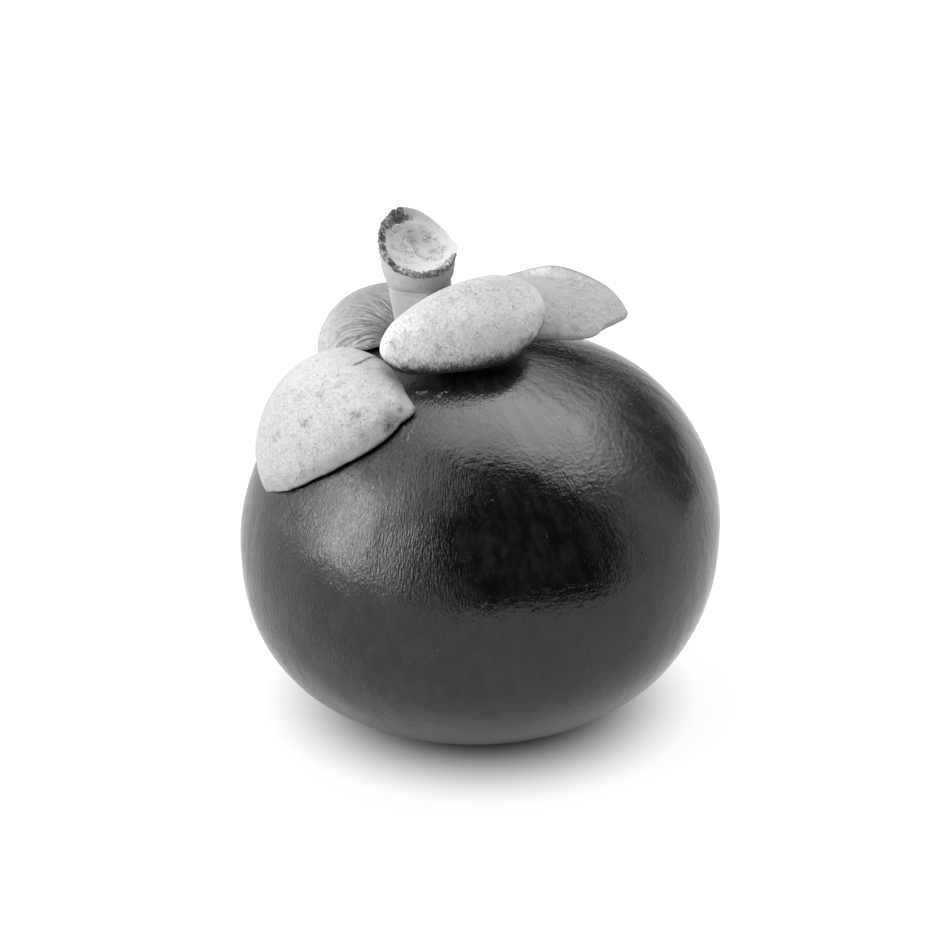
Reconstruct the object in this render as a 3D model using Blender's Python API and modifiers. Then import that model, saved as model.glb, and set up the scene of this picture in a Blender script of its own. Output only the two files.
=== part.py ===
"""Mangosteen, as picked: the whole fruit with its four curled sepals, its cut stalk and its stigma scar.

The fruit stands on its own flattened base. +Z is up, and the origin lies on the surface it rests on,
under the middle of the fruit. Lengths are in metres and angles in degrees. Every grown piece is one
closed solid, and neighbours keep a small gap.
"""

import math
from dataclasses import dataclass

import bmesh
import bpy
from mathutils import Matrix, Vector
from mathutils.bvhtree import BVHTree

# --- Driving dimensions of the rind ---------------------------------------------------------------
RIND_RADIUS = 0.0300
CROWN_RISE = 0.0266  # centre of the fruit to its crown
BASE_DROP = 0.0235  # centre of the fruit to its apex, before the base is flattened
CROWN_FULLNESS = 1.89  # exponent of the upper outline: 2 is an ellipse, more is squarer
BASE_FULLNESS = 2.40
CENTRE_HEIGHT = 0.0227  # what lies lower than this under the centre is flattened
AXIS_TILT = 2.6  # the crown leans towards -X
CROWN_DRIFT = 0.0056  # how far the crown has grown towards -X
RIND_SEGMENTS = 60
RIND_RINGS = 36


@dataclass
class Swell:
    """A broad bulge of the rind, or a hollow where its rise is negative."""

    azimuth: float
    elevation: float
    spread: float
    rise: float  # as a fraction of the radius there


SWELLS = (
    Swell(azimuth=35, elevation=32, spread=22, rise=0.100),
    Swell(azimuth=-10, elevation=-25, spread=20, rise=-0.014),
    Swell(azimuth=-110, elevation=-60, spread=24, rise=-0.012),
    Swell(azimuth=180, elevation=-10, spread=22, rise=0.011),
    Swell(azimuth=150, elevation=40, spread=22, rise=-0.023),
)

# --- Driving dimensions of the stigma scar and the dimple that holds it ------------------------------
APEX = Vector((0.0005, 0.0002, 0.0))
DIMPLE_RADIUS = 0.0056
DIMPLE_DEPTH = 0.0016
DIMPLE_EDGE = 0.0006
SCAR_RADIUS = 0.0050
SCAR_THICKNESS = 0.0010
SCAR_LOBES = 6
SCAR_NOTCH = 0.28  # depth of the clefts between lobes, as a fraction of the radius
GAP = 0.0003  # between neighbouring pieces

# --- Driving dimensions of the stalk -----------------------------------------------------------------
STALK_LEAN = 4.4  # towards -X
STALK_SEGMENTS = 32
STALK_OUTLINE = (  # height above the crown and radius
    (0.0003, 0.0038),
    (0.0012, 0.0038),
    (0.0026, 0.0034),
    (0.0052, 0.0036),
    (0.0074, 0.0039),
    (0.0080, 0.0037),
    (0.0087, 0.0040),
    (0.0104, 0.0045),
    (0.0125, 0.0046),
    (0.0178, 0.0043),
)
CUT_HEIGHT = 0.0132  # of the cut's middle above the crown
CUT_SLOPE = 31.0
CUT_AZIMUTH = -68.0  # the side that the sloping cut faces
CUT_HOLLOW_RADIUS = 0.0085

# --- Driving dimensions of the sepals ----------------------------------------------------------------
SEPAL_THICKNESS = 0.0018
SEPAL_GAP = 0.00095  # middle of the sepal's margin to the rind
SEPAL_SEGMENTS = 36
SEPAL_RINGS = 18
BASE_SPREAD = 70.0  # half angle of the part of a margin that counts as its base
DRAPE_CENTRE = Vector((-0.0020, 0.0, 0.0240))
DRAPE_RADIUS = 0.0270  # lengths along the rind are laid off on a ball of this radius


@dataclass
class Bump:
    """A smooth change of a sepal's outline or of its margin's height, around one direction on it."""

    angle: float  # 0 is the sepal's tip and 180 its base
    rise: float
    spread: float


@dataclass
class Sepal:
    """A domed leaf over the rind. It is laid out around its own middle, then lifted into a dome."""

    name: str
    azimuth: float  # where its middle lies around the stalk
    reach: float  # from the crown to its middle, along the rind
    turn: float  # of its tip, about its own middle
    half_length: float
    half_width: float
    ovate: float  # more is broader towards the tip
    taper: float  # more is longer on one side than on the other
    bend: float  # bows it into a crescent, in metres at its sides
    dome: float  # height of its middle over its margin
    curl: float  # how far the margin turns over: past 90 it is tucked under
    base_curl: float  # the same at its base, next to the stalk
    lean: tuple  # shift of the dome's top, along and across
    lobes: tuple  # Bumps of the outline, as fractions of it
    lifts: tuple  # Bumps of the margin's height, in metres


SEPALS = (
    Sepal(
        name="sepal_front",
        azimuth=-42,
        reach=0.0083,
        turn=-13.9,
        half_length=0.00304,
        half_width=0.00958,
        ovate=0.25,
        taper=0.55,
        bend=-0.0025,
        dome=0.0082,
        curl=130,
        base_curl=99,
        lean=(-0.0022, 0.0011),
        lobes=(),
        lifts=(Bump(angle=122, rise=0.0025, spread=50),),
    ),
    Sepal(
        name="sepal_left",
        azimuth=-152,
        reach=0.0171,
        turn=2,
        half_length=0.0104,
        half_width=0.0117,
        ovate=-0.37,
        taper=0,
        bend=0,
        dome=0.0025,
        curl=52,
        base_curl=52,
        lean=(-0.0003, 0.0),
        lobes=(
            Bump(angle=129, rise=0.09, spread=8),
            Bump(angle=-8, rise=0.06, spread=9),
            Bump(angle=-135, rise=-0.10, spread=35),
        ),
        lifts=(),
    ),
    Sepal(
        name="sepal_right",
        azimuth=39.5,
        reach=0.0151,
        turn=10,
        half_length=0.0094,
        half_width=0.0085,
        ovate=0.57,
        taper=0,
        bend=0,
        dome=0.0035,
        curl=87,
        base_curl=87,
        lean=(0.0004, 0.0006),
        lobes=(
            Bump(angle=11, rise=-0.29, spread=22),
            Bump(angle=-37, rise=0.06, spread=8),
            Bump(angle=-57, rise=-0.05, spread=9),
        ),
        lifts=(
            Bump(angle=8, rise=0.0075, spread=77),
            Bump(angle=-75, rise=-0.0010, spread=49),
        ),
    ),
    Sepal(
        name="sepal_back",
        azimuth=113,
        reach=0.0142,
        turn=9,
        half_length=0.0082,
        half_width=0.0092,
        ovate=0.13,
        taper=0,
        bend=0,
        dome=0.0048,
        curl=44,
        base_curl=44,
        lean=(0.0005, 0.0008),
        lobes=(
            Bump(angle=134, rise=0.45, spread=38),
            Bump(angle=147, rise=0.13, spread=12),
        ),
        lifts=(),
    ),
)


# --- Scene and materials -----------------------------------------------------------------------------
def clear_scene():
    for obj in list(bpy.data.objects):
        bpy.data.objects.remove(obj, do_unlink=True)


def make_collection(name):
    collection = bpy.data.collections.new(name)
    bpy.context.scene.collection.children.link(collection)
    return collection


def make_material(name, color, roughness):
    material = bpy.data.materials.new(name)
    material.use_nodes = True
    shader = material.node_tree.nodes["Principled BSDF"]
    shader.inputs["Base Color"].default_value = (*color, 1.0)
    shader.inputs["Roughness"].default_value = roughness
    shader.inputs["Metallic"].default_value = 0.0
    return material


def rind_skin():
    return make_material("rind_skin", (0.030, 0.030, 0.030), 0.38)


def sepal_flesh():
    return make_material("sepal_flesh", (0.55, 0.55, 0.55), 0.70)


def stalk_wood():
    return make_material("stalk_wood", (0.40, 0.40, 0.40), 0.65)


def scar_bark():
    return make_material("scar_bark", (0.10, 0.10, 0.10), 0.85)


def finish_object(name, mesh_builder, collection, material=None):
    """Turns a bmesh into an object with smooth round faces, sharp only at real edges."""
    mesh = bpy.data.meshes.new(name)
    bmesh.ops.recalc_face_normals(mesh_builder, faces=mesh_builder.faces)
    mesh_builder.to_mesh(mesh)
    mesh_builder.free()
    mesh.shade_smooth()
    mesh.set_sharp_from_angle(angle=math.radians(40))
    obj = bpy.data.objects.new(name, mesh)
    collection.objects.link(obj)
    if material:
        mesh.materials.append(material)
    return obj


def cut_away(obj, cutter):
    cutter.hide_render = True
    cutter.display_type = "WIRE"
    boolean = obj.modifiers.new(cutter.name, "BOOLEAN")
    boolean.operation = "DIFFERENCE"
    boolean.solver = "EXACT"
    boolean.object = cutter


# --- Rind ----------------------------------------------------------------------------------------------
def signed_power(value, exponent):
    return math.copysign(abs(value) ** exponent, value)


def direction(azimuth, elevation):
    """Unit vector that points to an azimuth and an elevation, both in degrees."""
    around = math.radians(azimuth)
    above = math.radians(elevation)
    flat = math.cos(above)
    return Vector((flat * math.cos(around), flat * math.sin(around), math.sin(above)))


def swell_factor(towards):
    """How far the rind swells in a direction from its centre."""
    factor = 1.0
    for swell in SWELLS:
        apart = math.degrees(towards.angle(direction(swell.azimuth, swell.elevation)))
        factor += swell.rise * math.exp(-0.5 * (apart / swell.spread) ** 2)
    return factor


def rind_point(unit):
    """Moves a point of the unit ball to its place on the rind."""
    upper = unit.z >= 0
    fullness = CROWN_FULLNESS if upper else BASE_FULLNESS
    height = CROWN_RISE if upper else BASE_DROP
    ring = min(math.hypot(unit.x, unit.y), 1.0)
    radius = RIND_RADIUS * ring ** (2 / fullness)
    around = math.atan2(unit.y, unit.x)
    z = height * signed_power(unit.z, 2 / fullness)
    point = Vector((radius * math.cos(around), radius * math.sin(around), z))
    tilt = Matrix.Rotation(-math.radians(AXIS_TILT), 3, "Y")
    point *= swell_factor(tilt @ point)
    if upper:
        point.x -= CROWN_DRIFT * (z / CROWN_RISE) ** 2
    else:
        point += APEX * (z / BASE_DROP) ** 2
        point.x += BASE_DROP * math.tan(math.radians(-AXIS_TILT)) * (z / BASE_DROP) ** 2
    point = tilt @ point
    point.z = max(point.z + CENTRE_HEIGHT, 0.0)
    return point


def rind_builder():
    builder = bmesh.new()
    bmesh.ops.create_uvsphere(
        builder, u_segments=RIND_SEGMENTS, v_segments=RIND_RINGS, radius=1.0
    )
    for vertex in builder.verts:
        vertex.co = rind_point(vertex.co)
    return builder


def make_dimple_cutter(collection):
    """A shallow disc with a softened upper edge, which hollows the apex of the fruit."""
    builder = bmesh.new()
    bmesh.ops.create_cone(
        builder,
        cap_ends=True,
        segments=48,
        radius1=DIMPLE_RADIUS,
        radius2=DIMPLE_RADIUS,
        depth=2 * DIMPLE_DEPTH,
    )
    top_edges = [e for e in builder.edges if all(v.co.z > 0 for v in e.verts)]
    bmesh.ops.bevel(builder, geom=top_edges, offset=DIMPLE_EDGE, segments=2, affect="EDGES")
    bmesh.ops.translate(builder, vec=APEX, verts=builder.verts)
    return finish_object("dimple_cutter", builder, collection)


def make_rind(collection, cutters):
    rind = finish_object("rind", rind_builder(), collection, rind_skin())
    cut_away(rind, make_dimple_cutter(cutters))
    return rind


# --- Stigma scar -----------------------------------------------------------------------------------------
def make_stigma_scar(collection):
    """A flat rosette of rounded lobes, kept a little above the surface that the fruit rests on."""
    builder = bmesh.new()
    bmesh.ops.create_cone(
        builder,
        cap_ends=True,
        segments=SCAR_LOBES * 10,
        radius1=1.0,
        radius2=1.0,
        depth=SCAR_THICKNESS,
    )
    for vertex in builder.verts:
        around = math.atan2(vertex.co.y, vertex.co.x)
        cleft = 1 - abs(math.cos(around * SCAR_LOBES / 2))
        radius = SCAR_RADIUS * (1 - SCAR_NOTCH * cleft**2)
        vertex.co.x = radius * math.cos(around)
        vertex.co.y = radius * math.sin(around)
    middle = DIMPLE_DEPTH - GAP - SCAR_THICKNESS / 2
    bmesh.ops.translate(builder, vec=APEX + Vector((0, 0, middle)), verts=builder.verts)
    return finish_object("stigma_scar", builder, collection, scar_bark())


# --- Stalk -----------------------------------------------------------------------------------------------
def stalk_frame(crown):
    return Matrix.Translation(crown) @ Matrix.Rotation(-math.radians(STALK_LEAN), 4, "Y")


def make_cut_cutter(frame, collection):
    """A ball that leaves a hollow, sloping cut. Its surface meets the stalk's outline at the cut's rim."""
    rim = STALK_OUTLINE[-2][1]
    distance = math.sqrt(CUT_HOLLOW_RADIUS**2 - rim**2)
    facing = direction(CUT_AZIMUTH, 90 - CUT_SLOPE)
    middle = Vector((0, 0, CUT_HEIGHT))
    builder = bmesh.new()
    bmesh.ops.create_icosphere(builder, subdivisions=4, radius=CUT_HOLLOW_RADIUS)
    place = frame @ Matrix.Translation(middle + distance * facing)
    bmesh.ops.transform(builder, matrix=place, verts=builder.verts)
    return finish_object("cut_cutter", builder, collection)


def make_stalk(crown, collection, cutters):
    """Turns the stalk's outline about its axis, leans it and cuts its end."""
    builder = bmesh.new()
    outline = [(0.0, STALK_OUTLINE[0][0])]
    outline += [(radius, height) for height, radius in STALK_OUTLINE]
    outline.append((0.0, STALK_OUTLINE[-1][0]))
    points = [builder.verts.new((radius, 0, height)) for radius, height in reversed(outline)]
    for upper, lower in zip(points, points[1:]):
        builder.edges.new((upper, lower))
    mesh = bpy.data.meshes.new("stalk")
    builder.to_mesh(mesh)
    builder.free()
    stalk = bpy.data.objects.new("stalk", mesh)
    collection.objects.link(stalk)
    mesh.materials.append(stalk_wood())
    screw = stalk.modifiers.new("turn", "SCREW")
    screw.steps = STALK_SEGMENTS
    screw.render_steps = STALK_SEGMENTS
    screw.use_merge_vertices = True
    screw.merge_threshold = 0.00001
    screw.use_smooth_shade = True
    frame = stalk_frame(crown)
    stalk.matrix_world = frame
    cut_away(stalk, make_cut_cutter(frame, cutters))
    return stalk


# --- Sepals ----------------------------------------------------------------------------------------------
def bump_height(bumps, around):
    """Sum of the bumps in a direction on the sepal, in degrees."""
    total = 0.0
    for bump in bumps:
        apart = (around - bump.angle + 180) % 360 - 180
        total += bump.rise * math.exp(-((apart / bump.spread) ** 2))
    return total


def margin_curl(sepal, around):
    """How far the margin turns over in a direction on the sepal, in radians."""
    from_base = 180 - abs((around + 180) % 360 - 180)
    near_base = math.exp(-((from_base / BASE_SPREAD) ** 2))
    return math.radians(sepal.curl + (sepal.base_curl - sepal.curl) * near_base)


def sepal_axes(sepal, crown):
    """The sepal's middle, tip direction and side direction, as unit vectors from the drape centre."""
    up = (crown - DRAPE_CENTRE).normalized()
    out = direction(sepal.azimuth, 0)
    out = (out - up * out.dot(up)).normalized()
    side = up.cross(out)
    lean = sepal.reach / DRAPE_RADIUS
    middle = up * math.cos(lean) + out * math.sin(lean)
    tip = out * math.cos(lean) - up * math.sin(lean)
    turn = math.radians(sepal.turn)
    turned_tip = tip * math.cos(turn) + side * math.sin(turn)
    turned_side = side * math.cos(turn) - tip * math.sin(turn)
    return middle, turned_tip, turned_side


def sepal_point(sepal, axes, rind_tree, spread, around):
    """Middle surface of a sepal. Spread runs from 0 at its middle to 1 at its margin."""
    middle, tip, side = axes
    curl = margin_curl(sepal, math.degrees(around))
    reach = math.sin(spread * curl)
    if curl < math.pi / 2:
        reach /= math.sin(curl)
    lift = (math.cos(spread * curl) - math.cos(curl)) / (1 - math.cos(curl))
    outline = 1 + bump_height(sepal.lobes, math.degrees(around)) * spread**2
    along = reach * math.cos(around)
    across = reach * math.sin(around) * (1 + sepal.ovate * along)
    bowed = sepal.bend * across**2 + sepal.lean[0] * lift
    along = sepal.half_length * along * (1 + sepal.taper * across) * outline + bowed
    across = sepal.half_width * across * outline + sepal.lean[1] * lift
    away = math.hypot(along, across)
    towards = middle
    if away > 0:
        heading = (tip * along + side * across) / away
        angle = away / DRAPE_RADIUS
        towards = middle * math.cos(angle) + heading * math.sin(angle)
    surface = rind_tree.ray_cast(DRAPE_CENTRE, towards)[0]
    height = SEPAL_GAP + bump_height(sepal.lifts, math.degrees(around)) * spread**2
    return surface + towards * (height + sepal.dome * lift)


def sepal_normal(sepal, axes, rind_tree, spread, around):
    """Outward normal of the middle surface, from its slopes along and around."""
    step = 0.02
    inner = max(spread - step, step / 2)
    outer = max(spread, inner + step)
    across = sepal_point(sepal, axes, rind_tree, outer, around) - sepal_point(
        sepal, axes, rind_tree, inner, around
    )
    along = sepal_point(sepal, axes, rind_tree, outer, around + step) - sepal_point(
        sepal, axes, rind_tree, outer, around - step
    )
    return across.cross(along).normalized()


def make_sepal(sepal, crown, rind_tree, collection, material):
    """Drapes a flattened ball: its upper half is the sepal's outer face and its lower half the inner."""
    axes = sepal_axes(sepal, crown)
    builder = bmesh.new()
    bmesh.ops.create_uvsphere(
        builder, u_segments=SEPAL_SEGMENTS, v_segments=SEPAL_RINGS, radius=1.0
    )
    for vertex in builder.verts:
        ball = vertex.co.copy()
        spread = min(math.hypot(ball.x, ball.y), 1.0)
        around = math.atan2(ball.y, ball.x)
        middle = sepal_point(sepal, axes, rind_tree, spread, around)
        normal = sepal_normal(sepal, axes, rind_tree, spread, around)
        vertex.co = middle + normal * (ball.z * SEPAL_THICKNESS / 2)
    return finish_object(sepal.name, builder, collection, material)


def main():
    clear_scene()
    parts = make_collection("mangosteen")
    cutters = make_collection("mangosteen_cutters")
    cutters.hide_render = True
    crown = rind_point(Vector((0, 0, 1)))
    shape = rind_builder()
    rind_tree = BVHTree.FromBMesh(shape)
    shape.free()
    make_rind(parts, cutters)
    make_stigma_scar(parts)
    make_stalk(crown, parts, cutters)
    flesh = sepal_flesh()
    for sepal in SEPALS:
        make_sepal(sepal, crown, rind_tree, parts, flesh)


main()
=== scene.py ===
"""Mangosteen: the looks of the whole fruit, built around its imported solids.

The fruit stands on its own flattened base. +Z is up, lengths are in metres and angles in degrees.
The rind, each sepal, the stalk and the stigma scar are made again here in fine detail, each in the
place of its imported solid.
"""

import math
from dataclasses import dataclass

import bmesh
import bpy
import numpy as np
from bpy.props import FloatProperty, FloatVectorProperty, IntProperty, PointerProperty
from mathutils import Matrix, Vector, noise
from mathutils.bvhtree import BVHTree


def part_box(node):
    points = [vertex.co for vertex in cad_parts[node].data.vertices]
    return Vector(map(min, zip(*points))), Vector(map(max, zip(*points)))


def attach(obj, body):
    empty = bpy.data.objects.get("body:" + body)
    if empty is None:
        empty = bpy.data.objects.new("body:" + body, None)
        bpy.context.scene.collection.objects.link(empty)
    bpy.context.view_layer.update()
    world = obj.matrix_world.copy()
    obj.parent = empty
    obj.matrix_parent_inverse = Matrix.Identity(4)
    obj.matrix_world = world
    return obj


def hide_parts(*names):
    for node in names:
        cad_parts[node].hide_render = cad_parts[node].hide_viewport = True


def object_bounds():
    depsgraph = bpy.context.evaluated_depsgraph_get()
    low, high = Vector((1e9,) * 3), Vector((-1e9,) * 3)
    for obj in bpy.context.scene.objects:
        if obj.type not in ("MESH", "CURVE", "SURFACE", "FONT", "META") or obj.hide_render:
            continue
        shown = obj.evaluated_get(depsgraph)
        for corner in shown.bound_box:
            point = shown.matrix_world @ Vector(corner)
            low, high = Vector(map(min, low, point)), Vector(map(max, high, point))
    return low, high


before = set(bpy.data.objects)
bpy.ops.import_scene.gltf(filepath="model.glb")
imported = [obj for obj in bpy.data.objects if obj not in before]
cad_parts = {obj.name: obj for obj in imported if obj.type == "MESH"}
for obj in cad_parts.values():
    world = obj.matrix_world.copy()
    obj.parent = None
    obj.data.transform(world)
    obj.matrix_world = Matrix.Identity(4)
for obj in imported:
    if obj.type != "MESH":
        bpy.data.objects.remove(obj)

bl_info = {
    "name": "Mangosteen",
    "version": (1, 0, 0),
    "blender": (4, 5, 0),
    "location": "3D View > Sidebar > Mangosteen",
    "description": "Builds a mangosteen with its sepals, cut stalk and stigma scar",
    "category": "Object",
}

BODY = "root"
CAD_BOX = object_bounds()
FRUIT_MIDDLE = (Vector(CAD_BOX[0]) + Vector(CAD_BOX[1])) / 2

# --- Stage ---
FLOOR_SIZE = 6.0
FLOOR_DROP = -0.00002
# Painted contact shadow under the fruit: the floor's glow is off inside the first radius and full from
# the second.
PAINTED_SHADOW_RADIUS = 0.012
PAINTED_SHADOW_EDGE = 0.029
SWEEP_HEIGHT = 0.25
SWEEP_ROUNDING = 0.8
SENSOR_WIDTH = 36
AIM_SHIFT = Vector((-0.001447, -0.000036, -0.000829))


@dataclass
class RoomPatch:
    """A round patch of the room that shines more than the rest, or less where its change is negative.

    It is full up to its half angle, and ends at fade times that angle.
    """

    azimuth: float
    elevation: float
    half_angle: float
    fade: float
    change: float


ROOM_PATCHES = (
    RoomPatch(azimuth=-65, elevation=37, half_angle=42, fade=1.38, change=-0.96),
    RoomPatch(azimuth=50, elevation=12, half_angle=17, fade=1.7, change=-0.82),
    RoomPatch(azimuth=45, elevation=52, half_angle=12, fade=2.4, change=1.2),
)


@dataclass
class Softbox:
    """A rectangular lamp. A level one faces straight down and another faces the fruit."""

    name: str
    azimuth: float
    elevation: float
    distance: float
    width: float
    height: float
    radiance: float
    turn: float = 0
    level: bool = False


SOFTBOXES = (
    Softbox(
        name="overhead_softbox",
        azimuth=45.5,
        elevation=62.5,
        distance=1.01,
        width=1.25,
        height=0.77,
        radiance=3.25,
        turn=18,
        level=True,
    ),
    Softbox(
        name="side_softbox",
        azimuth=-158,
        elevation=36,
        distance=0.90,
        width=0.90,
        height=1.35,
        radiance=2.15,
    ),
    Softbox(
        name="strip_softbox",
        azimuth=-159,
        elevation=21,
        distance=0.80,
        width=0.21,
        height=0.54,
        radiance=9.2,
    ),
)

# --- Shape of the rind ---
RIND_RADIUS = 0.0300
CROWN_RISE = 0.0266
BASE_DROP = 0.0235
CROWN_FULLNESS = 1.89
BASE_FULLNESS = 2.40
CENTRE_HEIGHT = 0.0227
AXIS_TILT = 2.6
CROWN_DRIFT = 0.0056
RIND_CENTRE = Vector((0.0, 0.0, CENTRE_HEIGHT))


@dataclass
class Swell:
    """A broad bulge of the rind, or a hollow where its rise is negative."""

    azimuth: float
    elevation: float
    spread: float
    rise: float


SWELLS = (
    Swell(azimuth=35, elevation=32, spread=22, rise=0.100),
    Swell(azimuth=-10, elevation=-25, spread=20, rise=-0.014),
    Swell(azimuth=-110, elevation=-60, spread=24, rise=-0.012),
    Swell(azimuth=180, elevation=-10, spread=22, rise=0.011),
    Swell(azimuth=150, elevation=40, spread=22, rise=-0.023),
)


@dataclass
class Scratch:
    """A thin pale scar in the skin. Its ends are azimuths and elevations from the rind's centre."""

    start: tuple
    end: tuple
    width: float
    strength: float


SCRATCHES = (
    Scratch(start=(-56, 38.1), end=(-45, 38.1), width=0.00022, strength=0.5),
    Scratch(start=(-126, 61.8), end=(-123, 63.2), width=0.00040, strength=0.7),
    Scratch(start=(-115, 63.3), end=(-112, 65.5), width=0.00034, strength=0.7),
    Scratch(start=(-122, 51.5), end=(-119.5, 47.3), width=0.00016, strength=0.6),
    Scratch(start=(-119.6, 52.4), end=(-117.1, 47.2), width=0.00014, strength=0.6),
    Scratch(start=(-118.3, 53.1), end=(-117.1, 49.8), width=0.00012, strength=0.6),
    Scratch(start=(-90.2, 9.5), end=(-88.6, 10.2), width=0.00018, strength=0.6),
)

APEX = Vector((0.0005, 0.0002, 0.0))
DIMPLE_RADIUS = 0.0056
DIMPLE_DEPTH = 0.0016
DIMPLE_EDGE = 0.0012
BROAD_DENT = 0.0090
NARROW_DENT = 0.0032
RIDGE_WIDTH = 0.075
RIDGE_LENGTH = 0.09
GAP = 0.0003
SPARE = 0.0010

# --- Shape of the stalk ---
STALK_LEAN = 4.4
STALK_OUTLINE = (
    (0.0003, 0.0038),
    (0.0012, 0.0038),
    (0.0026, 0.0034),
    (0.0052, 0.0036),
    (0.0074, 0.0038),
    (0.0080, 0.0037),
    (0.0087, 0.0041),
    (0.0104, 0.0045),
    (0.0125, 0.0046),
    (0.0178, 0.0043),
)
CUT_HEIGHT = 0.0132
CUT_SLOPE = 31.0
CUT_AZIMUTH = -68.0
CUT_HOLLOW_RADIUS = 0.0085
RIM_STEPS = 6
OUTLINE_ROUNDING = 0.0006
OUTLINE_SAMPLES = 9
CORNER_AZIMUTH = -70.0
SQUARE_SCALE = 0.88
SHAFT_FOOT = (0.0004, 0.0030)
SHAFT_COLLAR = (0.0074, 0.0090)
GROOVE_HEIGHT = 0.0081
GROOVE_DEPTH = 0.00013
GROOVE_WIDTH = 0.00016
KNOB_HEIGHT = 0.0120
KNOB_RISE = 0.0003
KNOB_LENGTH = 0.0006
KNOB_SPREAD = 0.06
CRUST_AZIMUTH = -130.0
CRUST_EDGE = -0.66
CRUST_FADE = 0.35
CRUST_TOP = (0.82, 0.88)
CRUST_SIDE = (-0.00075, -0.00050)
CRUST_RISE = 0.00024
CRUST_BULGE = 0.00020
SHOULDER_AZIMUTH = 45.0
SHOULDER_WEAR = 0.0007
CLEFT_AZIMUTH = 116.0
CLEFT_RING = 0.90
CLEFT_WIDTH = 0.07
CLEFT_SPREAD = 0.10
CLEFT_DEPTH = 0.0004

# --- Shape of the sepals ---
SEPAL_GAP = 0.00095
BASE_SPREAD = 70.0
DRAPE_CENTRE = Vector((-0.0020, 0.0, 0.0240))
DRAPE_RADIUS = 0.0270
SHEET_STEP = 0.01
PRESSED_FROM = 0.78
WRINKLE_REACH = 0.0155
FOLD_SIZE = 0.11
FOLD_LENGTH = 0.030
FOLD_WIDTH = 0.25
FUNNEL_REACH = 0.0085
FUNNEL_CORE = 0.0045
CREASE_STEPS = 24
CREASE_WAVE = 0.00018
CREASE_WIDTH = 0.0005


@dataclass
class Bump:
    """A smooth change of a sepal's outline or of its margin's height, around one direction on it."""

    angle: float
    rise: float
    spread: float


@dataclass
class Spot:
    """A soft darker patch on a sepal, placed by its share of the way out and its direction. Most are old
    marks; those at the front sepal's right end are painted shade of its fold.
    """

    spread: float
    around: float
    radius: float
    strength: float


@dataclass
class Sepal:
    """A domed leaf over the rind, laid out around its own middle.

    Azimuth and reach place that middle from the crown, and curl says how far the margin rolls over.
    Painted_light_tones scale the colours of the flanks and of the top, as painted light that lightens or
    darkens each sepal. Shade_from is how far the flesh faces up or down where the underside's painted
    shade begins, and rim is the strength of the margin's dark line.
    Pressed is how much closer to the rind the margin lies, and wrinkles is the depth of the folds
    beside the stalk. A crease has two ends, each a share of the way out and a direction.
    """

    name: str
    node: str
    azimuth: float
    reach: float
    turn: float
    half_length: float
    half_width: float
    ovate: float
    dome: float
    curl: float
    base_curl: float
    lean: tuple
    spots: tuple
    painted_light_tones: tuple
    shade_from: float
    rim: float
    taper: float = 0
    bend: float = 0
    lobes: tuple = ()
    lifts: tuple = ()
    crease: tuple = ()
    pressed: float = 0
    wrinkles: float = 0


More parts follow.
